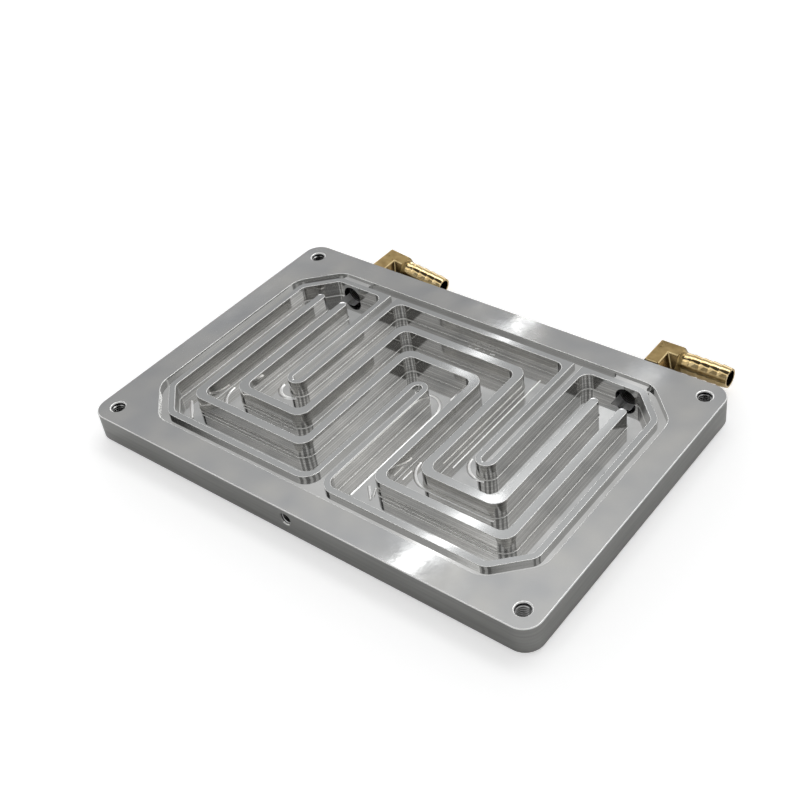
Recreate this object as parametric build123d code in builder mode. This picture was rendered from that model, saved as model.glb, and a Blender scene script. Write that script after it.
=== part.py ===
from build123d import *
import os

# Liquid cooling plate for a power controller: one milled aluminium block whose pocket is divided
# by two folded ribs and three walls, with a seal groove round it and two brass hose elbows.
# The origin is the centre of the bottom face. X runs along the plate, +Y to the hose side.

# Plate
plate_length = 230.0
plate_width = 150.0
plate_thickness = 13.0
plate_corner_radius = 8.0
plate_edge_break = 0.4

# Screw holes in the four corners, tapped right through
corner_hole_inset = 8.75
corner_thread_diameter = 6.0
corner_mouth_diameter = 7.4
countersink_angle = 90.0

# Pocket for the coolant, an octagon
pocket_side_margin = 20.25
pocket_end_margin = 20.0
pocket_depth = 8.0
pocket_chamfer = 12.5
pocket_corner_radius = 3.6
pocket_foot_radius = 0.4

# Seal groove round the pocket and along the middle of each wall
seal_land = 3.0
seal_groove_width = 3.9
seal_groove_depth = 2.2
seal_bridge_depth = 1.1
seal_bridge_half_length = 7.6
seal_front_sweep_radius = 7.5

# Walls that reach into the pocket, two from the hose side and one from the front
wall_width = 9.6
wall_root_radius = 4.6
wall_tip_land = 2.4

# Ribs, standing free on the floor
rib_thickness = 4.0
rib_outer_radius = 6.0
rib_inner_radius = 4.0
rib_tip_gap = 12.1

# Channels between the pocket wall, the outer rib, the inner rib and the walls
edge_channel_side = 10.5
edge_channel_front = 11.4
edge_channel_rear = 10.9
middle_channel_side = 9.4
middle_channel_front = 9.1
middle_channel_rear = 9.8
middle_channel_centre = 9.2
wall_channel_outer = 11.2
wall_channel_inner = 11.4
wall_channel_turn = 11.8
centre_channel_turn = 11.5

# Ports from the hose side into the pocket, tapped G 1/8
port_thread_diameter = 9.73
port_mouth_diameter = 10.4
port_run_in = 4.3

# Tapped hole in the front side
front_hole_height = 7.8
front_thread_diameter = 5.0
front_mouth_diameter = 6.2
front_hole_depth = 11.0

# Edge chamfer that the cutter leaves along every upper edge of pocket, ribs, walls and groove
rim_chamfer = 0.25

# Brass hose elbow, made of hexagon bar
elbow_across_flats = 11.0
elbow_leg_length = 12.0
elbow_neck_start = 10.1
elbow_shoulder_start = 7.9
elbow_shoulder_bulge = 0.5
elbow_seat_chamfer = 0.3
elbow_bore_diameter = 7.0
shank_length = 9.0
shank_clearance = 0.06
shank_lead_chamfer = 0.8
neck_radius = 4.6
neck_length = 3.3
barb_count = 4
barb_pitch = 4.4
barb_crest_radius = 4.85
barb_root_radius = 4.35
inlet_turn = 7.4
outlet_stand_off = 1.6

# How far a cut reaches past the surface that it starts on
cut_overshoot = 1.0

half_length = plate_length / 2
half_width = plate_width / 2
pocket_half_length = half_length - pocket_side_margin
pocket_half_width = half_width - pocket_end_margin
half_rib = rib_thickness / 2
half_wall = wall_width / 2

# Rib centre lines, counted inwards from the pocket wall
outer_rib_x = pocket_half_length - edge_channel_side - half_rib
outer_rib_front = -pocket_half_width + edge_channel_front + half_rib
inner_rib_x = outer_rib_x - rib_thickness - middle_channel_side
inner_rib_front = outer_rib_front + rib_thickness + middle_channel_front
wall_x = inner_rib_x - half_rib - wall_channel_outer - half_wall
inner_rib_turn = wall_x - half_wall - wall_channel_inner - half_rib
outer_rib_turn = inner_rib_turn - rib_thickness - middle_channel_centre
inner_rib_rear = pocket_half_width - edge_channel_rear - half_rib
outer_rib_rear = inner_rib_rear - rib_thickness - middle_channel_rear
rib_tip = pocket_half_width - rib_tip_gap - half_rib

# Each port faces the channel between the free ends of the two ribs
port_x = (outer_rib_x + inner_rib_x) / 2
port_height = plate_thickness / 2
port_length = pocket_end_margin + port_run_in
groove_start = seal_land + seal_groove_width / 2
seal_line_rear = pocket_half_width + groove_start

# Each wall's x, the side of the pocket that it grows from, and its length up to the rib round its tip
side_wall_length = pocket_half_width - inner_rib_front - half_rib - wall_channel_turn
centre_wall_length = pocket_half_width + outer_rib_rear - half_rib - centre_channel_turn
walls = (
    (-wall_x, 1, side_wall_length), (wall_x, 1, side_wall_length), (0, -1, centre_wall_length),
)


def octagon(margin):
    """Corner points of the pocket outline moved outwards by a margin."""
    x = pocket_half_length + margin
    y = pocket_half_width + margin
    cut = pocket_chamfer + margin * (2 - 2 ** 0.5)
    return [
        (x, y - cut), (x - cut, y), (cut - x, y), (-x, y - cut),
        (-x, cut - y), (cut - x, -y), (x - cut, -y), (x, cut - y),
    ]


def rib_shape(end_x, front_y, turn_x, rear_y):
    """One rib seen from above: down, across the front, up, across the rear and back again."""
    with BuildSketch() as rib:
        with BuildLine():
            upper = FilletPolyline(
                (0, rear_y + half_rib),
                (turn_x + half_rib, rear_y + half_rib),
                (turn_x + half_rib, front_y + half_rib),
                (end_x - half_rib, front_y + half_rib),
                (end_x - half_rib, rib_tip),
                radius=[rib_outer_radius, rib_inner_radius, rib_inner_radius],
            )
            lower = FilletPolyline(
                (0, rear_y - half_rib),
                (turn_x - half_rib, rear_y - half_rib),
                (turn_x - half_rib, front_y - half_rib),
                (end_x + half_rib, front_y - half_rib),
                (end_x + half_rib, rib_tip),
                radius=[rib_inner_radius, rib_outer_radius, rib_outer_radius],
            )
            tip = ThreePointArc(upper @ 1, (end_x, rib_tip + half_rib), lower @ 1)
            mirror([upper, lower, tip], about=Plane.YZ)
        make_face()
    return rib.sketch


def wall_shapes(width, root_y, extra_length):
    """The three walls, or the grooves along them, from their roots to their round tips."""
    with BuildSketch() as shapes:
        for x, side, length in walls:
            straight = length + extra_length - width / 2
            with Locations((x, side * (root_y - straight / 2))):
                Rectangle(width, straight)
            with Locations((x, side * (root_y - straight))):
                Circle(width / 2)
    return shapes.sketch


with BuildSketch() as pocket_outline:
    Polygon(*octagon(0), align=None)
    fillet(pocket_outline.vertices(), pocket_corner_radius)

with BuildSketch(Plane.XY.offset(plate_thickness)) as channels:
    add(pocket_outline.sketch)
    add(wall_shapes(wall_width, pocket_half_width, 0), mode=Mode.SUBTRACT)
    for x, side, _ in walls:
        for edge in (-half_wall, half_wall):
            root = (x + edge, side * pocket_half_width, plate_thickness)
            fillet(channels.vertices().sort_by_distance(root)[0], wall_root_radius)
    add(rib_shape(outer_rib_x, outer_rib_front, outer_rib_turn, outer_rib_rear), mode=Mode.SUBTRACT)
    add(rib_shape(inner_rib_x, inner_rib_front, inner_rib_turn, inner_rib_rear), mode=Mode.SUBTRACT)

# The groove keeps one land all round and runs on into the walls, up to a land at each tip
with BuildSketch(Plane.XY.offset(plate_thickness)) as seal_groove:
    offset(pocket_outline.sketch, amount=seal_land + seal_groove_width)
    offset(pocket_outline.sketch, amount=seal_land, mode=Mode.SUBTRACT)
    add(wall_shapes(seal_groove_width, seal_line_rear, groove_start - wall_tip_land))
    for side in (-1, 1):
        corner = (side * seal_groove_width / 2, -pocket_half_width - seal_land, plate_thickness)
        fillet(seal_groove.vertices().sort_by_distance(corner)[0], seal_front_sweep_radius)

# Over the ports the groove is shallow, and the deep groove stops there with round ends
bridge_stop = seal_bridge_half_length + seal_groove_width / 2
with BuildSketch(Plane.XY.offset(plate_thickness)) as deep_groove:
    add(seal_groove.sketch)
    with Locations((-port_x, seal_line_rear), (port_x, seal_line_rear)):
        Rectangle(2 * bridge_stop, 2 * seal_groove_width, mode=Mode.SUBTRACT)
        with Locations((-bridge_stop, 0), (bridge_stop, 0)):
            Circle(seal_groove_width / 2)
    add(seal_groove.sketch, mode=Mode.INTERSECT)

with BuildPart() as plate:
    with BuildSketch():
        RectangleRounded(plate_length, plate_width, plate_corner_radius)
    extrude(amount=plate_thickness)
    chamfer(plate.faces().filter_by(Axis.Z).edges(), plate_edge_break)
    add(channels.sketch)
    extrude(amount=-pocket_depth, mode=Mode.SUBTRACT)
    pocket_floor = plate.faces().filter_by(Axis.Z).group_by(Axis.Z)[1]
    fillet(pocket_floor.edges(), pocket_foot_radius)
    add(seal_groove.sketch)
    extrude(amount=-seal_bridge_depth, mode=Mode.SUBTRACT)
    add(deep_groove.sketch)
    extrude(amount=-seal_groove_depth, mode=Mode.SUBTRACT)
    tops = plate.faces().group_by(Axis.Z)[-1].sort_by(SortBy.AREA)
    chamfer(tops[:-1].edges() + tops[-1].inner_wires().edges(), rim_chamfer)
    with Locations(Plane.XY.offset(plate_thickness)):
        with GridLocations(
            plate_length - 2 * corner_hole_inset, plate_width - 2 * corner_hole_inset, 2, 2,
        ):
            CounterSinkHole(
                corner_thread_diameter / 2, corner_mouth_diameter / 2, counter_sink_angle=countersink_angle,
            )
    rear = Plane(origin=(0, half_width, port_height), x_dir=(-1, 0, 0), z_dir=(0, 1, 0))
    with Locations(rear):
        with Locations((-port_x, 0), (port_x, 0)):
            CounterSinkHole(
                port_thread_diameter / 2, port_mouth_diameter / 2, depth=port_length,
                counter_sink_angle=countersink_angle,
            )
    front = Plane(origin=(0, -half_width, front_hole_height), x_dir=(1, 0, 0), z_dir=(0, -1, 0))
    with Locations(front):
        CounterSinkHole(
            front_thread_diameter / 2, front_mouth_diameter / 2, depth=front_hole_depth,
            counter_sink_angle=countersink_angle,
        )

# The elbow is drawn on its port: the seat is at the origin, the shank goes to -Y, the barbs to +X
half_flats = elbow_across_flats / 2
half_corners = half_flats / 3 ** 0.5 * 2
outside = half_corners + cut_overshoot
shank_radius = port_thread_diameter / 2 - shank_clearance
barb_start = elbow_neck_start + neck_length
barb_end = barb_start + barb_count * barb_pitch

with BuildPart() as elbow:
    with BuildLine() as bend:
        Polyline((0, 0), (0, elbow_leg_length), (elbow_neck_start, elbow_leg_length))
    with BuildSketch(Plane.XZ):
        RegularPolygon(half_flats, 6, major_radius=False)
    sweep(path=bend.line, transition=Transition.RIGHT)
    # The seat end and the hose end of the hexagon are turned down to a round shoulder
    with BuildSketch():
        with BuildLine():
            Polyline(
                (half_corners - elbow_seat_chamfer, 0), (outside, 0),
                (outside, elbow_seat_chamfer), (half_corners, elbow_seat_chamfer),
                close=True,
            )
        make_face()
    revolve(axis=Axis.Y, mode=Mode.SUBTRACT)
    hose_axis = Axis((0, elbow_leg_length, 0), (1, 0, 0))
    with BuildSketch():
        with BuildLine():
            shoulder_low = (elbow_neck_start, elbow_leg_length + neck_radius)
            shoulder_high = (elbow_shoulder_start, elbow_leg_length + half_corners)
            SagittaArc(shoulder_low, shoulder_high, elbow_shoulder_bulge)
            Polyline(
                shoulder_high, (elbow_shoulder_start, elbow_leg_length + outside),
                (elbow_neck_start + cut_overshoot, elbow_leg_length + outside),
                (elbow_neck_start + cut_overshoot, elbow_leg_length + neck_radius), shoulder_low,
            )
        make_face()
    revolve(axis=hose_axis, mode=Mode.SUBTRACT)
    # Neck and barbs, each barb widest on the side of the elbow
    with BuildSketch():
        with BuildLine():
            steps = [(elbow_neck_start, 0), (elbow_neck_start, neck_radius), (barb_start, neck_radius)]
            for barb in range(barb_count):
                foot = barb_start + barb * barb_pitch
                steps += [(foot, barb_crest_radius), (foot + barb_pitch, barb_root_radius)]
            steps += [(barb_end, 0)]
            Polyline(*[(x, elbow_leg_length + y) for x, y in steps], close=True)
        make_face()
    revolve(axis=hose_axis)
    # Shank in the port, with a lead-in chamfer
    with BuildSketch():
        with BuildLine():
            Polyline(
                (0, 0), (shank_radius, 0), (shank_radius, shank_lead_chamfer - shank_length),
                (shank_radius - shank_lead_chamfer, -shank_length), (0, -shank_length), close=True,
            )
        make_face()
    revolve(axis=Axis.Y)
    # Water way through shank, bend and barbs
    with BuildSketch(Plane.XZ.offset(shank_length)):
        Circle(elbow_bore_diameter / 2)
    extrude(amount=-shank_length - elbow_leg_length, mode=Mode.SUBTRACT)
    with BuildSketch(Plane.YZ.offset(barb_end)):
        with Locations((elbow_leg_length, 0)):
            Circle(elbow_bore_diameter / 2)
    extrude(amount=-barb_end, mode=Mode.SUBTRACT)
    with Locations((0, elbow_leg_length, 0)):
        Sphere(elbow_bore_diameter / 2, mode=Mode.SUBTRACT)

inlet_elbow = Pos(-port_x, half_width, port_height) * Rot(0, inlet_turn, 0) * elbow.part
outlet_elbow = Pos(port_x, half_width + outlet_stand_off, port_height) * elbow.part

os.makedirs("parts", exist_ok=True)
plate.part.label = "cooling_plate"
export_step(plate.part, "parts/cooling_plate.step")
inlet_elbow.label = "inlet_elbow"
export_step(inlet_elbow, "parts/inlet_elbow.step")
outlet_elbow.label = "outlet_elbow"
export_step(outlet_elbow, "parts/outlet_elbow.step")
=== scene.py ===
import math

import bpy
from mathutils import Matrix, Vector


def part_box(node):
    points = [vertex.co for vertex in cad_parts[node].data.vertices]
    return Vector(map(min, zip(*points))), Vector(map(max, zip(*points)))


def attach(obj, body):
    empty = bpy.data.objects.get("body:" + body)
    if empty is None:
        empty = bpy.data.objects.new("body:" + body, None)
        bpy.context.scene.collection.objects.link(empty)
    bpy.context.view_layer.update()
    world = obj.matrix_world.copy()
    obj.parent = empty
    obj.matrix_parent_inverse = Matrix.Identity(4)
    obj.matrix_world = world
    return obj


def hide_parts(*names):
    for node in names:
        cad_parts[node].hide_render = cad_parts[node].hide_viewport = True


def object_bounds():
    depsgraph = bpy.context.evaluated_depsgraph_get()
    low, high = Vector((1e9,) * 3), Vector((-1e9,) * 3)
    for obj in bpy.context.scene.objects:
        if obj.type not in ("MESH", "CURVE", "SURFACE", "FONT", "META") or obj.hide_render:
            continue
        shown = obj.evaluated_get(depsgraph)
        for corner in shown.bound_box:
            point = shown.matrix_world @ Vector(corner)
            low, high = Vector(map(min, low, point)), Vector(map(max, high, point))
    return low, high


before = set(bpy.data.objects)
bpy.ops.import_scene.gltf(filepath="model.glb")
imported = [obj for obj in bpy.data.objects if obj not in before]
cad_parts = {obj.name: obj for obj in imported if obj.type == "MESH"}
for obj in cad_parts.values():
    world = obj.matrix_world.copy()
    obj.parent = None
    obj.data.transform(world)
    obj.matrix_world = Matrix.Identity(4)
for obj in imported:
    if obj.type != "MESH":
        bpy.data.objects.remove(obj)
cadLow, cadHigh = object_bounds()
print("frame loaded")

mm = 0.001
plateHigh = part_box("cooling_plate")[1]
inletLow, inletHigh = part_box("inlet_elbow")
outletLow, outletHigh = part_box("outlet_elbow")
weldDistance = 0.002 * mm  # points of a CAD node that lie closer than this are one point
levelNormal = 0.98  # the normal of a level face has more z than this
uprightNormal = 0.05  # the normal of an upright face has less z than this


# small helpers
def deselectAll():
    if bpy.context.object and bpy.context.object.mode != "OBJECT":
        bpy.ops.object.mode_set(mode="OBJECT")
    bpy.ops.object.select_all(action="DESELECT")


def pick(piece):
    deselectAll()
    piece.select_set(True)
    bpy.context.view_layer.objects.active = piece


def placeInMesh(piece):
    pick(piece)
    bpy.ops.object.transform_apply(location=True, rotation=True, scale=True)


def applyModifiers(piece):
    pick(piece)
    for modifier in list(piece.modifiers):
        bpy.ops.object.modifier_apply(modifier=modifier.name)


def rename(piece, name):
    piece.name = name
    piece.data.name = name


def joinAll(pieces, name):
    deselectAll()
    for piece in pieces:
        piece.select_set(True)
    bpy.context.view_layer.objects.active = pieces[0]
    bpy.ops.object.join()
    rename(pieces[0], name)
    return pieces[0]


def evenNormals(piece, smoothAngle):  # faces marked strong keep their own normal, weak ones blend into them
    pick(piece)
    bpy.ops.object.shade_smooth_by_angle(angle=math.radians(smoothAngle))
    weighted = piece.modifiers.new("evenNormals", "WEIGHTED_NORMAL")
    weighted.keep_sharp = True
    weighted.use_face_influence = True
    applyModifiers(piece)


def copyOf(node, name):  # a welded copy of a CAD node, which may then be finished
    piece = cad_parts[node].copy()
    piece.data = piece.data.copy()
    for key in list(piece.keys()):
        del piece[key]
    rename(piece, name)
    piece.parent = None
    bpy.context.scene.collection.objects.link(piece)
    piece.data.materials.clear()
    pick(piece)
    bpy.ops.object.mode_set(mode="EDIT")
    bpy.ops.mesh.select_all(action="SELECT")
    bpy.ops.mesh.remove_doubles(threshold=weldDistance)
    bpy.ops.object.mode_set(mode="OBJECT")
    bpy.ops.mesh.customdata_custom_splitnormals_clear()  # the node's own normals would hide its sharp edges
    return piece


# shader building
def addNode(tree, kind, **values):
    node = tree.nodes.new(kind)
    for key, value in values.items():
        if hasattr(node, key):
            setattr(node, key, value)
        else:
            node.inputs[key.replace("_", " ")].default_value = value
    return node


def join(tree, source, output, target, socket):
    tree.links.new(source.outputs[output], target.inputs[socket])


def startGroup(name, inputs, outputs):
    tree = bpy.data.node_groups.new(name, "ShaderNodeTree")
    for label, value in inputs.items():
        socket = tree.interface.new_socket(name=label, in_out="INPUT", socket_type="NodeSocketFloat")
        socket.default_value = value
    for label in outputs:
        tree.interface.new_socket(name=label, in_out="OUTPUT", socket_type="NodeSocketFloat")
    return tree, tree.nodes.new("NodeGroupInput"), tree.nodes.new("NodeGroupOutput")


def useGroup(tree, group, **values):
    node = tree.nodes.new("ShaderNodeGroup")
    node.node_tree = group
    for key, value in values.items():
        node.inputs[key].default_value = value
    return node


def mathNode(tree, operation, *values):  # each value is a number or (node, output)
    node = tree.nodes.new("ShaderNodeMath")
    node.operation = operation
    for index, value in enumerate(values):
        if isinstance(value, tuple):
            tree.links.new(value[0].outputs[value[1]], node.inputs[index])
        else:
            node.inputs[index].default_value = value
    return node


def makeStreaks():  # long fine lines at one height, as a cutter leaves along a wall
    tree, start, end = startGroup("cutterStreaks", {"Along": 6.0, "Across": 900.0}, ["Streak"])
    place = addNode(tree, "ShaderNodeTexCoord")
    split = addNode(tree, "ShaderNodeSeparateXYZ")
    merge = addNode(tree, "ShaderNodeCombineXYZ")
    join(tree, place, "Object", split, "Vector")
    for axis, scale in (("X", "Along"), ("Y", "Along"), ("Z", "Across")):
        scaled = mathNode(tree, "MULTIPLY", (split, axis), (start, scale))
        join(tree, scaled, "Value", merge, axis)
    noise = addNode(tree, "ShaderNodeTexNoise", Scale=1.0, Detail=1.0, Roughness=0.5)
    join(tree, merge, "Vector", noise, "Vector")
    join(tree, noise, "Fac", end, "Streak")
    return tree


def makePasses():  # a thin line at each depth where the cutter took its next pass
    tree, start, end = startGroup(
        "cutterPasses", {"Pitch": 1.45, "Line": 0.12, "Wander": 0.15}, ["Step", "Line", "Band"])
    place = addNode(tree, "ShaderNodeTexCoord")
    split = addNode(tree, "ShaderNodeSeparateXYZ")
    join(tree, place, "Object", split, "Vector")
    noise = addNode(tree, "ShaderNodeTexNoise", Scale=18.0, Detail=1.0)
    join(tree, place, "Object", noise, "Vector")
    height = mathNode(tree, "MULTIPLY", (split, "Z"), 1 / mm)
    wander = mathNode(tree, "MULTIPLY", (noise, "Fac"), (start, "Wander"))
    moved = mathNode(tree, "ADD", (height, "Value"), (wander, "Value"))
    counted = mathNode(tree, "DIVIDE", (moved, "Value"), (start, "Pitch"))
    part = mathNode(tree, "FRACT", (counted, "Value"))
    line = mathNode(tree, "LESS_THAN", (part, "Value"), (start, "Line"))
    count = mathNode(tree, "FLOOR", (counted, "Value"))
    band = addNode(tree, "ShaderNodeTexWhiteNoise", noise_dimensions="1D")
    join(tree, count, "Value", band, "W")
    join(tree, part, "Value", end, "Step")
    join(tree, line, "Value", end, "Line")
    join(tree, band, "Value", end, "Band")
    return tree


def makeSmudge():  # slow change over a face and fine grain in it
    tree, start, end = startGroup("handledMetal", {"Patch": 25.0, "Grain": 1500.0}, ["Patch", "Grain"])
    place = addNode(tree, "ShaderNodeTexCoord")
    patch = addNode(tree, "ShaderNodeTexNoise", Detail=4.0, Roughness=0.6)
    grain = addNode(tree, "ShaderNodeTexNoise", Detail=2.0)
    for noise, scale in ((patch, "Patch"), (grain, "Grain")):
        join(tree, place, "Object", noise, "Vector")
        join(tree, start, scale, noise, "Scale")
        join(tree, noise, "Fac", end, scale)
    return tree


def makeBulge():  # each barb swells between one crest and the next
    tree, start, end = startGroup("barbBulge", {"First": 0.0, "Pitch": 4.4}, ["Bulge"])
    place = addNode(tree, "ShaderNodeTexCoord")
    split = addNode(tree, "ShaderNodeSeparateXYZ")
    join(tree, place, "Object", split, "Vector")
    along = mathNode(tree, "MULTIPLY", (split, "X"), 1 / mm)
    moved = mathNode(tree, "SUBTRACT", (along, "Value"), (start, "First"))
    counted = mathNode(tree, "DIVIDE", (moved, "Value"), (start, "Pitch"))
    part = mathNode(tree, "FRACT", (counted, "Value"))
    rest = mathNode(tree, "SUBTRACT", 1.0, (part, "Value"))
    bulge = mathNode(tree, "MULTIPLY", (part, "Value"), (rest, "Value"))
    join(tree, bulge, "Value", end, "Bulge")
    return tree


streakGroup = makeStreaks()
passGroup = makePasses()
smudgeGroup = makeSmudge()
bulgeGroup = makeBulge()
noiseLow, noiseHigh = 0.25, 0.75  # most values of a noise texture lie between these
faintestLine = 0.3  # how much of its shade the faintest pass line has
lineColour = (0.12, 0.12, 0.12, 1.0)


def spread(tree, source, output, low, high):  # turns a noise value into the range low to high
    node = addNode(
        tree, "ShaderNodeMapRange", From_Min=noiseLow, From_Max=noiseHigh, To_Min=low, To_Max=high)
    join(tree, source, output, node, "Value")
    return node


def makeMetal(name, look):  # heights are in metres, "patch" to "across" are scales of the noise per metre
    material = bpy.data.materials.new(name)
    material.use_nodes = True
    tree = material.node_tree
    shader = tree.nodes["Principled BSDF"]
    shader.inputs["Metallic"].default_value = 1.0
    smudge = useGroup(tree, smudgeGroup, Patch=look["patch"], Grain=look["grain"])
    streak = useGroup(tree, streakGroup, Along=look["along"], Across=look["across"])
    rough = spread(tree, smudge, "Patch", *look["roughness"])
    join(tree, rough, "Result", shader, "Roughness")
    tone = addNode(tree, "ShaderNodeMix", data_type="RGBA")
    tone.inputs["A"].default_value = (*look["dark"], 1.0)
    tone.inputs["B"].default_value = (*look["light"], 1.0)
    streaked = spread(tree, streak, "Streak", 0.0, 1.0)
    join(tree, streaked, "Result", tone, "Factor")
    colour = tone
    height = mathNode(tree, "MULTIPLY", (streak, "Streak"), look["streakHeight"])
    grained = mathNode(tree, "MULTIPLY", (smudge, "Grain"), look["grainHeight"])
    total = mathNode(tree, "ADD", (height, "Value"), (grained, "Value"))
    waved = mathNode(tree, "MULTIPLY", (smudge, "Patch"), look["waveHeight"])
    total = mathNode(tree, "ADD", (total, "Value"), (waved, "Value"))
    if "bulge" in look:
        bulge = useGroup(tree, bulgeGroup, First=look["first"], Pitch=look["barbPitch"])
        swelled = mathNode(tree, "MULTIPLY", (bulge, "Bulge"), look["bulge"])
        total = mathNode(tree, "ADD", (total, "Value"), (swelled, "Value"))
    if "pitch" in look:
        passes = useGroup(tree, passGroup, Pitch=look["pitch"], Line=look["line"], Wander=look["wander"])
        banded = mathNode(tree, "MULTIPLY", (passes, "Band"), look["bandShade"])
        streakShade = 1.0 - look["bandShade"]
        shared = mathNode(tree, "MULTIPLY_ADD", (streaked, "Result"), streakShade, (banded, "Value"))
        join(tree, shared, "Value", tone, "Factor")
        cut = mathNode(tree, "MULTIPLY", (passes, "Step"), look["passHeight"])
        total = mathNode(tree, "ADD", (total, "Value"), (cut, "Value"))
        colour = addNode(tree, "ShaderNodeMix", data_type="RGBA")
        least, rest = look["lineShade"] * faintestLine, look["lineShade"] * (1.0 - faintestLine)
        depth = mathNode(tree, "MULTIPLY_ADD", (passes, "Band"), rest, least)
        shade = mathNode(tree, "MULTIPLY", (passes, "Line"), (depth, "Value"))
        join(tree, shade, "Value", colour, "Factor")
        join(tree, tone, "Result", colour, "A")
        colour.inputs["B"].default_value = lineColour
    join(tree, colour, "Result", shader, "Base Color")
    bump = addNode(tree, "ShaderNodeBump", Strength=1.0, Distance=1.0)
    join(tree, total, "Value", bump, "Height")
    join(tree, bump, "Normal", shader, "Normal")
    return material


# the plate
plateLook = {
    "top": {
        "dark": (0.59, 0.60, 0.60), "light": (0.63, 0.64, 0.64), "roughness": (0.05, 0.10),
        "patch": 30.0, "grain": 1400.0, "along": 40.0, "across": 40.0,
        "streakHeight": 0.0, "grainHeight": 0.00015 * mm, "waveHeight": 0.012 * mm,
    },
    "rim": {
        "dark": (0.56, 0.57, 0.58), "light": (0.68, 0.675, 0.655), "roughness": (0.03, 0.13),
        "patch": 55.0, "grain": 900.0, "along": 60.0, "across": 60.0,
        "streakHeight": 0.0, "grainHeight": 0.0004 * mm, "waveHeight": 0.022 * mm,
    },
    "floor": {
        "dark": (0.60, 0.61, 0.61), "light": (0.80, 0.80, 0.79), "roughness": (0.04, 0.10),
        "patch": 60.0, "grain": 800.0, "along": 90.0, "across": 90.0,
        "streakHeight": 0.002 * mm, "grainHeight": 0.0004 * mm, "waveHeight": 0.02 * mm,
    },
    "wall": {
        "dark": (0.41, 0.405, 0.39), "light": (0.75, 0.74, 0.72), "roughness": (0.06, 0.12),
        "patch": 60.0, "grain": 900.0, "along": 3.0, "across": 800.0,
        "streakHeight": 0.001 * mm, "grainHeight": 0.0, "waveHeight": 0.004 * mm,
        "pitch": 1.3, "line": 0.16, "wander": 0.45, "passHeight": 0.006 * mm, "lineShade": 0.55,
        "bandShade": 0.65,
    },
    "backWall": {
        "dark": (0.44, 0.435, 0.42), "light": (0.62, 0.615, 0.60), "roughness": (0.26, 0.36),
        "patch": 60.0, "grain": 900.0, "along": 3.0, "across": 800.0,
        "streakHeight": 0.001 * mm, "grainHeight": 0.0, "waveHeight": 0.004 * mm,
        "pitch": 1.3, "line": 0.22, "wander": 0.35, "passHeight": 0.008 * mm, "lineShade": 0.5,
        "bandShade": 0.6,
    },
    # the seal groove's walls are darker than the pocket walls: painted shade in the groove
    "shadedGrooveWall": {
        "dark": (0.42, 0.42, 0.41), "light": (0.62, 0.62, 0.61), "roughness": (0.05, 0.10),
        "patch": 60.0, "grain": 900.0, "along": 8.0, "across": 900.0,
        "streakHeight": 0.001 * mm, "grainHeight": 0.0001 * mm, "waveHeight": 0.002 * mm,
    },
    "grooveFloor": {
        "dark": (0.66, 0.66, 0.65), "light": (0.80, 0.80, 0.79), "roughness": (0.06, 0.12),
        "patch": 60.0, "grain": 900.0, "along": 60.0, "across": 60.0,
        "streakHeight": 0.0, "grainHeight": 0.0001 * mm, "waveHeight": 0.004 * mm,
    },
    # the edge chamfers are real, but their near-white colour, far lighter than the top, is a painted
    # highlight
    "edge": {
        "dark": (0.88, 0.88, 0.87), "light": (0.95, 0.95, 0.94), "roughness": (0.34, 0.42),
        "patch": 90.0, "grain": 900.0, "along": 90.0, "across": 90.0,
        "streakHeight": 0.0, "grainHeight": 0.0002 * mm, "waveHeight": 0.004 * mm,
    },
    "foot": {
        "dark": (0.66, 0.66, 0.65), "light": (0.82, 0.82, 0.80), "roughness": (0.30, 0.40),
        "patch": 90.0, "grain": 900.0, "along": 90.0, "across": 90.0,
        "streakHeight": 0.0, "grainHeight": 0.0002 * mm, "waveHeight": 0.004 * mm,
    },
    # hole walls are nearly black: painted shade inside the holes
    "shadedBore": {
        "dark": (0.12, 0.12, 0.13), "light": (0.22, 0.22, 0.23), "roughness": (0.18, 0.28),
        "patch": 90.0, "grain": 900.0, "along": 90.0, "across": 900.0,
        "streakHeight": 0.002 * mm, "grainHeight": 0.0004 * mm, "waveHeight": 0.004 * mm,
    },
    # near white: painted light on a port's lower wall as far as the light from the pocket reaches; beyond
    # it the wall takes the painted shade of the bores
    "runIn": {
        "dark": (0.86, 0.86, 0.86), "light": (0.96, 0.96, 0.95), "roughness": (0.60, 0.70),
        "patch": 90.0, "grain": 900.0, "along": 90.0, "across": 300.0,
        "streakHeight": 0.001 * mm, "grainHeight": 0.0004 * mm, "waveHeight": 0.01 * mm,
    },
    "side": {
        "dark": (0.30, 0.30, 0.29), "light": (0.38, 0.38, 0.37), "roughness": (0.28, 0.36),
        "patch": 60.0, "grain": 1200.0, "along": 30.0, "across": 900.0,
        "streakHeight": 0.002 * mm, "grainHeight": 0.002 * mm, "waveHeight": 0.02 * mm,
    },
    # the rim starts just outside the seal groove: where in x, where in y, and what is cut off each corner
    "rimX": 102.0 * mm, "rimY": 62.0 * mm, "rimCut": 23.8 * mm,
    "cornerRadius": 8.0 * mm, "smoothAngle": 50.0,
    # faces are told apart by their depth below the top, or by how near the outer sides they lie
    "topDepth": 0.1 * mm, "edgeDepth": 1.2 * mm, "grooveWallDepth": 2.3 * mm, "grooveFloorDepth": 2.6 * mm,
    "footFrom": 7.5 * mm, "footTo": 8.1 * mm, "sideSkin": 0.6 * mm,
    "chamferNormal": 0.3,  # the normal of an edge chamfer has more z than this
    "hiddenNormal": 0.3,  # the normal of a wall hidden from the camera has more -x or more y than this
}

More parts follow.
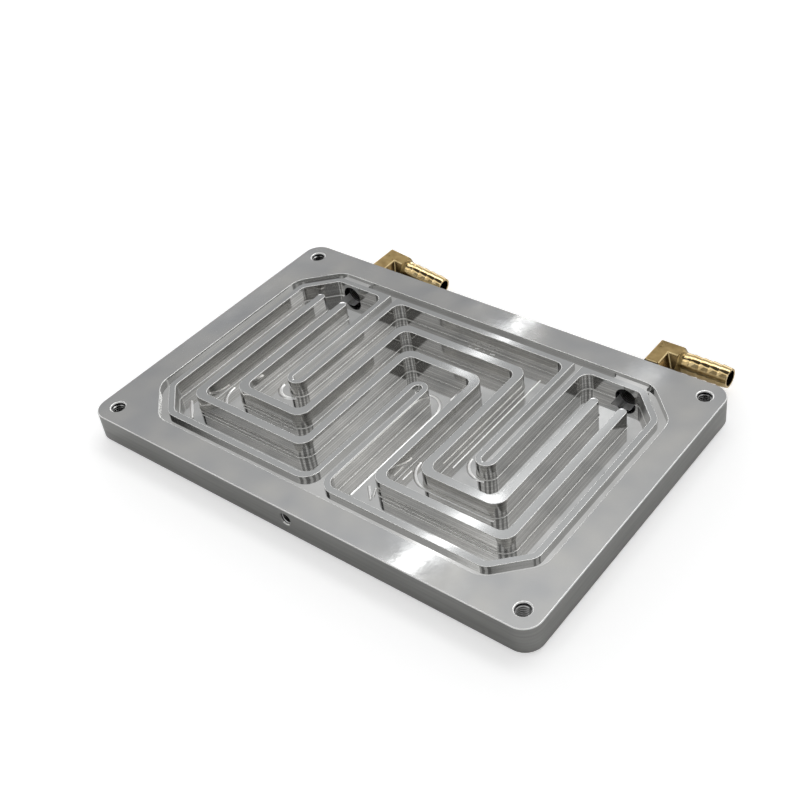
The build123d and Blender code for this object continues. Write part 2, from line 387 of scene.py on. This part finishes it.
# each hole's middle and its radius at the root of the thread; a hole in a side also has the y of its inner
# end, and a port the y where its run-in starts, the y where the light from the pocket ends, and the height
# under which its wall lies lower than the pocket floor
holes = {
    "corner": {"x": 106.25 * mm, "y": 66.25 * mm, "radius": 3.0 * mm},
    "port": {
        "x": 75.55 * mm, "z": 6.5 * mm, "radius": 4.865 * mm, "inner": 55.2 * mm,
        "runIn": 50.0 * mm, "lit": 61.0 * mm, "floor": 4.98 * mm,
    },
    "front": {"x": 0.0, "z": 7.8 * mm, "radius": 2.5 * mm, "inner": -64.0 * mm},
}
boreSlack = 0.06 * mm  # how far beyond a hole's radius a face of its wall may lie
boreNormal = 0.1  # the normal of a port's wall has less y than this


def nearAxis(across, upward, hole):
    return math.hypot(across, upward) < hole["radius"] + boreSlack


def inBore(middle):  # whether a point is on the wall of a hole
    corner, port, front = holes["corner"], holes["port"], holes["front"]
    x, y, z = middle
    if nearAxis(abs(x) - corner["x"], abs(y) - corner["y"], corner):
        return True
    if y > port["inner"] - boreSlack and nearAxis(abs(x) - port["x"], z - port["z"], port):
        return True
    return y < front["inner"] + boreSlack and nearAxis(x - front["x"], z - front["z"], front)


def inRunIn(middle, end):  # whether a point is on a port's wall lower than the pocket floor, as far as end
    port = holes["port"]
    low = port["runIn"] < middle.y < end and middle.z < port["floor"]
    return low and nearAxis(abs(middle.x) - port["x"], middle.z - port["z"], port)


def surfaceOf(face, look):  # which finish a face of the plate has, by its place and direction
    middle, normal = face.center, face.normal
    x, y, tilt = abs(middle.x), abs(middle.y), abs(normal.z)
    depth = plateHigh.z - middle.z
    if normal.z > levelNormal and depth < look["topDepth"]:
        beyond = x > look["rimX"] or y > look["rimY"]
        corner = x + y > look["rimX"] + look["rimY"] - look["rimCut"]
        return "rim" if beyond or corner else "top"
    # the lit part of a port's lower wall takes painted light, and the other hole walls painted shade
    if inRunIn(middle, holes["port"]["lit"]):
        return "runIn"
    if inBore(middle):
        return "shadedBore"
    if tilt > levelNormal:
        return "grooveFloor" if depth < look["grooveFloorDepth"] else "floor"
    if tilt > look["chamferNormal"] and depth < look["edgeDepth"]:
        return "edge"
    if tilt > uprightNormal and look["footFrom"] < depth < look["footTo"]:
        return "foot"
    reachX, reachY = x - plateHigh.x + look["cornerRadius"], y - plateHigh.y + look["cornerRadius"]
    reach = math.hypot(reachX, reachY) if reachX > 0 and reachY > 0 else max(reachX, reachY)
    if reach > look["cornerRadius"] - look["sideSkin"]:
        return "side"
    if depth < look["grooveWallDepth"]:
        return "shadedGrooveWall"
    return "backWall" if min(normal.x, -normal.y) < -look["hiddenNormal"] else "wall"


def splitRunIn(piece):  # parts the lower wall of each port where the light from the pocket ends
    pick(piece)
    bpy.ops.object.mode_set(mode="EDIT")
    bpy.ops.mesh.select_mode(type="FACE")
    bpy.ops.mesh.select_all(action="DESELECT")
    bpy.ops.object.mode_set(mode="OBJECT")
    for face in piece.data.polygons:
        face.select = inRunIn(face.center, plateHigh.y) and abs(face.normal.y) < boreNormal
    bpy.ops.object.mode_set(mode="EDIT")
    bpy.ops.mesh.bisect(plane_co=(0, holes["port"]["lit"], 0), plane_no=(0, 1, 0))
    bpy.ops.object.mode_set(mode="OBJECT")


def makePlate(look):
    piece = copyOf("cooling_plate", "milledPlate")
    splitRunIn(piece)
    finishes = [
        "top", "rim", "floor", "wall", "backWall", "shadedGrooveWall",
        "grooveFloor", "side", "edge", "foot", "shadedBore", "runIn"]
    for finish in finishes:
        piece.data.materials.append(makeMetal(finish + "Aluminium", look[finish]))
    for face in piece.data.polygons:
        face.material_index = finishes.index(surfaceOf(face, look))
    for strength, strong in (("WEAK", False), ("STRONG", True)):  # level and upright faces are strong
        for face in piece.data.polygons:
            tilt = abs(face.normal.z)
            face.select = (tilt > levelNormal or tilt < uprightNormal) == strong
        pick(piece)
        bpy.ops.object.mode_set(mode="EDIT")
        bpy.ops.mesh.select_mode(type="FACE")
        bpy.ops.mesh.mod_weighted_strength(set=True, face_strength=strength)
        bpy.ops.object.mode_set(mode="OBJECT")
    evenNormals(piece, look["smoothAngle"])
    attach(piece, "root")
    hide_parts("cooling_plate")


makePlate(plateLook)
print("plate finished")

# threads in the tapped holes
threadLook = {
    # the threads are darker than the plate as painted shade inside the holes; in the ports the crests are
    # light as painted light and the flanks near black as painted shade
    "finish": {
        "dark": (0.36, 0.36, 0.36), "light": (0.50, 0.50, 0.49), "roughness": (0.20, 0.28),
        "patch": 90.0, "grain": 900.0, "along": 200.0, "across": 200.0,
        "streakHeight": 0.001 * mm, "grainHeight": 0.0004 * mm, "waveHeight": 0.004 * mm,
    },
    "portFinish": {
        "dark": (0.62, 0.62, 0.62), "light": (0.78, 0.78, 0.77), "roughness": (0.45, 0.55),
        "patch": 90.0, "grain": 900.0, "along": 200.0, "across": 200.0,
        "streakHeight": 0.001 * mm, "grainHeight": 0.0004 * mm, "waveHeight": 0.004 * mm,
    },
    "shadedFlankFinish": {
        "dark": (0.05, 0.05, 0.05), "light": (0.10, 0.10, 0.10), "roughness": (0.30, 0.40),
        "patch": 90.0, "grain": 900.0, "along": 200.0, "across": 200.0,
        "streakHeight": 0.0, "grainHeight": 0.0004 * mm, "waveHeight": 0.004 * mm,
    },
    "steps": 40, "sides": 6, "smoothAngle": 30.0,
    "ridge": 0.485,  # half of a ridge's breadth, as a share of the pitch
    "portReach": 90 * mm,  # the ports lie nearer the middle in x than this, the corner holes farther out
    "crestNormal": 0.4,  # on the crest of a port's thread the normal has less y than this
    # start is where along its hole a thread begins
    "corner": {"pitch": 1.0 * mm, "depth": 0.5 * mm, "turns": 11, "start": 0.55 * mm},
    "port": {"pitch": 0.907 * mm, "depth": 0.58 * mm, "turns": 8, "start": 58.4 * mm},
    "front": {"pitch": 0.8 * mm, "depth": 0.4 * mm, "turns": 12, "start": -74.0 * mm},
}


def makeThread(hole, thread, place, look):  # a ridge that winds up the wall of a hole
    deselectAll()
    bpy.ops.mesh.primitive_circle_add(
        vertices=look["sides"], radius=1.0, location=(hole["radius"], 0, 0), rotation=(math.pi / 2, 0, 0))
    piece = bpy.context.object
    bpy.ops.transform.resize(value=(thread["depth"], 1.0, thread["pitch"] * look["ridge"]))
    bpy.ops.object.transform_apply(location=True, rotation=True, scale=True)
    wind = piece.modifiers.new("wind", "SCREW")
    wind.steps = wind.render_steps = look["steps"]
    wind.screw_offset = thread["pitch"]
    wind.iterations = thread["turns"]
    applyModifiers(piece)
    pick(piece)
    bpy.ops.object.mode_set(mode="EDIT")
    bpy.ops.mesh.select_all(action="SELECT")
    bpy.ops.mesh.fill_holes(sides=look["sides"])
    bpy.ops.mesh.normals_make_consistent(inside=False)
    bpy.ops.object.mode_set(mode="OBJECT")
    piece.location = place
    if "z" in hole:  # a hole in a side of the plate runs along y
        piece.rotation_euler = (-math.pi / 2, 0, 0)
    placeInMesh(piece)
    return piece


def makeThreads(look):
    corner, port, front = holes["corner"], holes["port"], holes["front"]
    made = []
    for x in (-corner["x"], corner["x"]):
        for y in (-corner["y"], corner["y"]):
            made.append(makeThread(corner, look["corner"], (x, y, look["corner"]["start"]), look))
    for x in (-port["x"], port["x"]):
        made.append(makeThread(port, look["port"], (x, look["port"]["start"], port["z"]), look))
    made.append(makeThread(front, look["front"], (front["x"], look["front"]["start"], front["z"]), look))
    threads = joinAll(made, "tappedThreads")
    bpy.ops.object.shade_smooth_by_angle(angle=math.radians(look["smoothAngle"]))
    plain, litCrest, shadedFlank = range(3)
    threads.data.materials.append(makeMetal("shadedThreadAluminium", look["finish"]))
    threads.data.materials.append(makeMetal("litPortCrestAluminium", look["portFinish"]))
    threads.data.materials.append(makeMetal("shadedFlankAluminium", look["shadedFlankFinish"]))
    # port crests get painted light and flanks painted shade, by which way each face points; other threads
    # get the darker painted-shade finish
    for face in threads.data.polygons:
        inPort = abs(face.center.x) < look["portReach"] and face.center.y > 0
        ridgeFinish = litCrest if abs(face.normal.y) < look["crestNormal"] else shadedFlank
        face.material_index = ridgeFinish if inPort else plain
    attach(threads, "root")


makeThreads(threadLook)
print("threads finished")

# raised lines that the cutter left on the pocket floor, near white as a painted highlight: each has its
# start, its heading in degrees, how many times as broad it is as a plain one, and then runs straight
# ("run", length) or turns ("turn", radius, degrees); lengths are in millimetres, and a turn to the right
# has a radius below zero
trackLook = {
    # near white, far lighter than the floor: painted highlight
    "finish": {
        "dark": (0.90, 0.90, 0.89), "light": (0.97, 0.97, 0.96), "roughness": (0.26, 0.34),
        "patch": 90.0, "grain": 900.0, "along": 200.0, "across": 200.0,
        "streakHeight": 0.0, "grainHeight": 0.0004 * mm, "waveHeight": 0.004 * mm,
    },
    "floorHeight": 5.0 * mm, "halfWidth": 0.26 * mm, "sides": 8, "smoothAngle": 60.0,
    "rise": 0.4,  # a line's height as a share of its half width
    "turnStep": 9.0,
    "tracks": [
        ((40.7, -7.0), -88, 3.0, [("turn", 8.85, 108)]),
        ((-60.2, -11.0), -90, 4.2, [("turn", 6.2, 140)]),
        ((0.7, 16.2), 10, 2.6, [("turn", -8.85, 100), ("run", 56.5)]),
        ((10.9, 26.0), -90, 1.5, [("run", 8.0)]),
        ((23.9, -19.5), -90, 3.0, [("turn", 11.4, 90), ("run", 33.0)]),
        ((23.7, -25.4), -90, 1.5, [("run", 6.0)]),
        ((-78.6, -24.0), -90, 3.2, [("turn", 13.5, 90)]),
        ((37.0, 48.6), -90, 1.5, [("run", 64.0)]),
        ((-89.0, -41.0), -42, 3.0, [("run", 12.5)]),
        ((14.3, -41.4), -45, 2.4, [("run", 8.0)]),
        ((17.5, -40.8), -62, 2.0, [("run", 5.0)]),
        ((-78.0, -44.9), 0, 1.0, [("run", 53.0)]),
        ((24.0, -44.9), 0, 1.0, [("run", 54.0)]),
        ((-66.0, -31.8), 0, 0.9, [("run", 30.0)]),
        ((-4.5, 53.2), 0, 1.6, [("run", 1.5)]),
        ((-1.0, 53.0), 20, 1.4, [("run", 2.2)]),
        ((3.0, 53.4), -15, 1.8, [("run", 1.8)]),
        ((7.2, 53.1), 10, 1.5, [("run", 2.4)]),
    ],
    # the run-in lines stand in for bright streaks, with the same painted-highlight colour
    "runInLines": [(-2.4, 1.3), (-1.3, 1.0)],  # in each port's run-in: x from the axis, and breadth
    "runInStart": 51.0, "runInHeading": 90, "runInLength": 7.0, "runInRise": 1.0,
}


def makeTrack(start, heading, broad, moves, look):
    x, y = start[0] * mm, start[1] * mm
    turned = math.radians(heading)
    deselectAll()
    facing = (math.pi / 2, 0, turned + math.pi / 2)
    bpy.ops.mesh.primitive_circle_add(
        vertices=look["sides"], radius=1.0, location=(x, y, look["floorHeight"]), rotation=facing)
    piece = bpy.context.object
    halfWidth = look["halfWidth"] * broad
    piece.scale = (halfWidth, halfWidth * look["rise"], 1.0)
    placeInMesh(piece)
    bpy.ops.object.mode_set(mode="EDIT")
    bpy.ops.mesh.select_mode(type="VERT")
    bpy.ops.mesh.select_all(action="SELECT")
    for move in moves:
        if move[0] == "run":
            length = move[1] * mm
            step = (length * math.cos(turned), length * math.sin(turned), 0)
            bpy.ops.mesh.extrude_region_move(TRANSFORM_OT_translate={"value": step})
            x, y = x + step[0], y + step[1]
        else:
            radius, angle = move[1] * mm, math.radians(abs(move[2]))
            left = 1 if radius > 0 else -1
            centre = (x - math.sin(turned) * radius, y + math.cos(turned) * radius, look["floorHeight"])
            steps = round(abs(move[2]) / look["turnStep"])
            bpy.ops.mesh.spin(
                steps=steps, angle=angle, center=centre, axis=(0, 0, -left), use_auto_merge=False)
            turned += left * angle
            x, y = centre[0] + math.sin(turned) * radius, centre[1] - math.cos(turned) * radius
    bpy.ops.mesh.select_all(action="SELECT")
    bpy.ops.mesh.fill_holes(sides=look["sides"])
    bpy.ops.mesh.normals_make_consistent(inside=False)
    bpy.ops.object.mode_set(mode="OBJECT")
    return piece


def makeTracks(look):
    made = [makeTrack(*track, look) for track in look["tracks"]]
    port, heading, moves = holes["port"], look["runInHeading"], [("run", look["runInLength"])]
    for x in (-port["x"], port["x"]):
        for offset, broad in look["runInLines"]:
            height = port["z"] - math.sqrt(port["radius"] ** 2 - (offset * mm) ** 2)
            place = (x / mm + offset, look["runInStart"])
            raised = {**look, "floorHeight": height, "rise": look["runInRise"]}
            made.append(makeTrack(place, heading, broad, moves, raised))
    tracks = joinAll(made, "cutterTracks")
    bpy.ops.object.shade_smooth_by_angle(angle=math.radians(look["smoothAngle"]))
    tracks.data.materials.append(makeMetal("highlightTrackAluminium", look["finish"]))
    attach(tracks, "root")


makeTracks(trackLook)
print("cutter tracks finished")

# the two elbows
elbowLook = {
    "body": {
        "dark": (0.27, 0.185, 0.075), "light": (0.43, 0.31, 0.135), "roughness": (0.24, 0.36),
        "patch": 150.0, "grain": 2500.0, "along": 300.0, "across": 300.0,
        "streakHeight": 0.004 * mm, "grainHeight": 0.004 * mm, "waveHeight": 0.02 * mm,
    },
    "barb": {
        "dark": (0.66, 0.47, 0.21), "light": (0.88, 0.70, 0.39), "roughness": (0.03, 0.09),
        "patch": 150.0, "grain": 2500.0, "along": 500.0, "across": 500.0,
        "streakHeight": 0.0005 * mm, "grainHeight": 0.0002 * mm, "waveHeight": 0.004 * mm,
        "bulge": 0.45 * mm, "barbPitch": 4.4,
    },
    # the upper faces at the inner corner are much darker than the body: painted shade in the corner
    "side": {
        "dark": (0.12, 0.08, 0.035), "light": (0.24, 0.165, 0.07), "roughness": (0.22, 0.32),
        "patch": 150.0, "grain": 2500.0, "along": 300.0, "across": 300.0,
        "streakHeight": 0.002 * mm, "grainHeight": 0.002 * mm, "waveHeight": 0.01 * mm,
    },
    # the rounded edges at the inner corner are much lighter than the body: painted highlight
    "edge": {
        "dark": (0.66, 0.51, 0.26), "light": (0.84, 0.68, 0.38), "roughness": (0.36, 0.46),
        "patch": 150.0, "grain": 2500.0, "along": 300.0, "across": 300.0,
        "streakHeight": 0.0, "grainHeight": 0.001 * mm, "waveHeight": 0.004 * mm,
    },
    # the inside of the bore is nearly black: painted shade
    "shadedBore": {
        "dark": (0.03, 0.02, 0.01), "light": (0.06, 0.04, 0.02), "roughness": (0.30, 0.40),
        "patch": 150.0, "grain": 2500.0, "along": 300.0, "across": 300.0,
        "streakHeight": 0.0, "grainHeight": 0.001 * mm, "waveHeight": 0.004 * mm,
    },
    "legOffset": 6.3 * mm,  # from the elbow's low end in x to the axis of its shank
    "bodyEnd": 8.2 * mm,  # from that axis to where the hexagon has become a round shoulder
    "shoulder": 2.0 * mm,  # from there to the neck
    "firstBarb": 13.4,  # from the shank's axis to the first barb, in millimetres
    "boreRadius": 3.55 * mm,
    "tipSpread": 0.05 * mm,  # a point this near the far end belongs to the tip
    "rootSpread": 0.2 * mm,  # a point this near the start of the neck belongs to it
    "cornerNormal": 0.2,  # the normal of a face at the inner corner has more x or -y, and more z, than this
    "bevel": 0.36 * mm, "bevelSteps": 2, "sharpEdge": 35.0, "shortEdge": 1.6 * mm, "smoothAngle": 30.0,
}
brassBody = makeMetal("satinBrass", elbowLook["body"])
brassShade = makeMetal("shadedBrass", elbowLook["side"])
brassEdgeHighlight = makeMetal("edgeHighlightBrass", elbowLook["edge"])
brassShadedBore = makeMetal("shadedBoreBrass", elbowLook["shadedBore"])


def breakEdges(piece, look, bodyX):  # rounds the body's long sharp edges and tells which faces are round
    pick(piece)
    bpy.ops.object.mode_set(mode="EDIT")
    bpy.ops.mesh.select_all(action="SELECT")
    bpy.ops.mesh.mod_weighted_strength(set=True, face_strength="STRONG")
    bpy.ops.mesh.select_mode(type="EDGE")
    bpy.ops.mesh.select_all(action="DESELECT")
    bpy.ops.mesh.edges_select_sharp(sharpness=math.radians(look["sharpEdge"]))
    bpy.ops.object.mode_set(mode="OBJECT")
    points = piece.data.vertices
    for edge in piece.data.edges:
        start, end = (points[index].co for index in edge.vertices)
        isLong = (start - end).length > look["shortEdge"]
        edge.select = edge.select and isLong and min(start.x, end.x) < bodyX
    bpy.ops.object.mode_set(mode="EDIT")
    bpy.ops.mesh.bevel(
        offset=look["bevel"], segments=look["bevelSteps"], affect="EDGES", clamp_overlap=False)
    bpy.ops.mesh.select_mode(type="FACE")
    bpy.ops.mesh.mod_weighted_strength(set=True, face_strength="WEAK")
    bpy.ops.object.mode_set(mode="OBJECT")
    return [face.select for face in piece.data.polygons]


def boreAxis(piece, rootX, tipX, look):  # the middle of the neck's start and of the tip
    points = [point.co for point in piece.data.vertices]
    roots = [point for point in points if abs(point.x - rootX) < look["rootSpread"]]
    tips = [point for point in points if point.x > tipX - look["tipSpread"]]
    return sum(roots, Vector()) / len(roots), sum(tips, Vector()) / len(tips)


def makeElbow(node, name, low, high, look):
    piece = copyOf(node, name)
    bodyX = low.x + look["legOffset"] + look["bodyEnd"]
    neckX = bodyX + look["shoulder"]
    rounded = breakEdges(piece, look, bodyX)
    firstBarb = (low.x + look["legOffset"]) / mm + look["firstBarb"]
    brassBarb = makeMetal("turnedBrass", {**look["barb"], "first": firstBarb})
    for material in (brassBody, brassBarb, brassShade, brassEdgeHighlight, brassShadedBore):
        piece.data.materials.append(material)
    body, barb, side, edge, shadedBore = range(5)
    root, tip = boreAxis(piece, neckX, high.x, look)
    for face, isRounded in zip(piece.data.polygons, rounded):
        outward, x = face.normal, face.center.x
        fromAxis = face.center - root.lerp(tip, (x - root.x) / (tip.x - root.x))
        inside = fromAxis.length < look["boreRadius"] and fromAxis.dot(outward) < 0
        facesCorner = min(max(outward.x, -outward.y), outward.z) > look["cornerNormal"]
        if inside and x > bodyX - look["shoulder"]:
            face.material_index = shadedBore
        elif x > bodyX:
            face.material_index = barb if x > neckX else body
        # at the inner corner, rounded edges take a painted highlight and the other faces painted shade
        elif facesCorner:
            face.material_index = edge if isRounded else side
    evenNormals(piece, look["smoothAngle"])
    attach(piece, "root")
    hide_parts(node)


makeElbow("inlet_elbow", "inletElbow", inletLow, inletHigh, elbowLook)
makeElbow("outlet_elbow", "outletElbow", outletLow, outletHigh, elbowLook)
print("elbows finished")

# floor, light and camera
studio = {
    "floorSize": 6.0, "floorDrop": 0.02 * mm, "floorColour": (0.82, 0.82, 0.82, 1.0),
    "floorRoughness": 0.9, "floorGlow": 0.45,
    "lens": 55.778, "sensor": 36, "shift": (-0.05, -0.0175), "clip": (0.01, 100),
    "cameraPlace": (279.84 * mm, -289.51 * mm, 346.89 * mm),
    "cameraAim": (7.74 * mm, 16.23 * mm, 13.0 * mm), "cameraRoll": 7.303,
    "stripHeight": 1.2,  # how far above the plate's top the long lamps hang, in metres
    # long lamps: the points, in millimetres on the plate's top, where the mirror image of each starts and
    # ends, its width there and its brightness
    "strips": [
        ("rearStrip", (8.5, 26), (14.5, 82), 5.5, 3.0), ("frontStrip", (57, -82), (67.5, -24), 8, 2.6),
        ("leftStrip", (-112, -20), (-110, 72), 6, 0.14), ("sideStrip", (70, -22), (80, 74), 13, 0.45),
    ],
    # brightness of the sky by the sine of the elevation
    "sky": [(0.0, 1.5), (0.22, 1.5), (0.42, 0.5), (0.58, 0.46), (0.66, 0.57), (0.76, 0.74), (0.9, 1.0)],
    # windows and dark parts of the room: azimuth from and to, elevation from and to, brightness
    "bays": [
        (118, 152, 0, 26, 3.2), (56, 120, 52, 66, 3.0), (34, 45, 30, 47, 0.9),
        (-180, -146, 34, 72, 0.05), (-180, 180, 72, 90, 0.06), (118, 145, 56, 66, 2.6),
        (-132, -116, 47, 60, 1.6),
        (-118, -106, 8, 60, 0.7), (-104, -84, 8, 60, 0.26), (-80, -68, 8, 60, 0.7), (-64, -40, 8, 60, 0.22),
        (-34, -26, 8, 60, 0.65), (-22, -4, 8, 60, 0.28), (2, 12, 8, 60, 0.6), (16, 30, 8, 60, 0.28),
    ],
}


def makeFloor():
    deselectAll()
    below = (0, 0, cadLow.z - studio["floorDrop"])
    bpy.ops.mesh.primitive_plane_add(size=studio["floorSize"], location=below)
    floor = bpy.context.object
    floor.name = "studioFloor"
    placeInMesh(floor)
    material = bpy.data.materials.new("paleFloor")
    material.use_nodes = True
    tree = material.node_tree
    shader = tree.nodes["Principled BSDF"]
    shader.inputs["Base Color"].default_value = studio["floorColour"]
    shader.inputs["Roughness"].default_value = studio["floorRoughness"]
    shader.inputs["Emission Color"].default_value = (1.0, 1.0, 1.0, 1.0)
    rays = addNode(tree, "ShaderNodeLightPath")
    glow = mathNode(tree, "MULTIPLY", (rays, "Is Camera Ray"), studio["floorGlow"])
    join(tree, glow, "Value", shader, "Emission Strength")
    floor.data.materials.append(material)


def makeWorld():
    world = bpy.data.worlds.new("studioWorld")
    bpy.context.scene.world = world
    world.use_nodes = True
    tree = world.node_tree
    back = tree.nodes["Background"]
    place = addNode(tree, "ShaderNodeTexCoord")
    split = addNode(tree, "ShaderNodeSeparateXYZ")
    join(tree, place, "Generated", split, "Vector")
    ramp = addNode(tree, "ShaderNodeValToRGB")
    stops = studio["sky"]
    points = ramp.color_ramp.elements
    while len(points) < len(stops):
        points.new(0.5)
    for point, (position, value) in zip(points, stops):
        point.position = position
        point.color = (value, value, value, 1.0)
    join(tree, split, "Z", ramp, "Fac")
    turn = mathNode(tree, "ARCTAN2", (split, "Y"), (split, "X"))
    rise = mathNode(tree, "ARCSINE", (split, "Z"))
    azimuth = mathNode(tree, "DEGREES", (turn, "Value"))
    elevation = mathNode(tree, "DEGREES", (rise, "Value"))
    level, output = ramp, "Color"
    for left, right, low, high, brightness in studio["bays"]:
        across = mathNode(tree, "COMPARE", (azimuth, "Value"), (left + right) / 2, (right - left) / 2)
        upright = mathNode(tree, "COMPARE", (elevation, "Value"), (low + high) / 2, (high - low) / 2)
        inside = mathNode(tree, "MULTIPLY", (across, "Value"), (upright, "Value"))
        bay = addNode(tree, "ShaderNodeMix", data_type="FLOAT")
        join(tree, inside, "Value", bay, "Factor")
        join(tree, level, output, bay, "A")
        bay.inputs["B"].default_value = brightness
        level, output = bay, "Result"
    rays = addNode(tree, "ShaderNodeLightPath")
    white = addNode(tree, "ShaderNodeMix", data_type="RGBA")
    join(tree, rays, "Is Camera Ray", white, "Factor")
    tree.links.new(level.outputs[output], white.inputs["A"])
    white.inputs["B"].default_value = (1.0, 1.0, 1.0, 1.0)
    tree.links.new(white.outputs["Result"], back.inputs["Color"])
    back.inputs["Strength"].default_value = 1.0


def makeStrip(name, near, far, width, brightness):  # a lamp that the plate's top mirrors from near to far
    camera = Vector(studio["cameraPlace"])
    share = studio["stripHeight"] / (camera.z - plateHigh.z)
    ends = []
    for x, y in (near, far):
        point = Vector((x * mm, y * mm, plateHigh.z))
        ray = point - camera
        ends.append(point + Vector((ray.x, ray.y, -ray.z)) * share)
    run = ends[1] - ends[0]
    lamp = bpy.data.lights.new(name, "AREA")
    lamp.shape = "RECTANGLE"
    lamp.size, lamp.size_y = width * mm * (1 + share), run.length
    lamp.energy = brightness * math.pi * lamp.size * lamp.size_y
    holder = bpy.data.objects.new(name, lamp)
    bpy.context.scene.collection.objects.link(holder)
    holder.location = (ends[0] + ends[1]) / 2
    holder.rotation_euler = (0, 0, math.atan2(run.y, run.x) - math.pi / 2)


def makeCamera():
    data = bpy.data.cameras.new("viewCamera")
    data.lens = studio["lens"]
    data.sensor_width = studio["sensor"]
    data.shift_x, data.shift_y = studio["shift"]
    data.clip_start, data.clip_end = studio["clip"]
    camera = bpy.data.objects.new("viewCamera", data)
    bpy.context.scene.collection.objects.link(camera)
    place = Vector(studio["cameraPlace"])
    forward = (Vector(studio["cameraAim"]) - place).normalized()
    right = forward.cross(Vector((0, 0, 1))).normalized()
    right = Matrix.Rotation(math.radians(studio["cameraRoll"]), 3, forward) @ right
    up = right.cross(forward)
    camera.matrix_world = Matrix.Translation(place) @ Matrix((right, up, -forward)).transposed().to_4x4()
    bpy.context.scene.camera = camera


makeFloor()
makeWorld()
for strip in studio["strips"]:
    makeStrip(*strip)
makeCamera()
bpy.context.scene.view_settings.view_transform = "Standard"
print("studio ready")
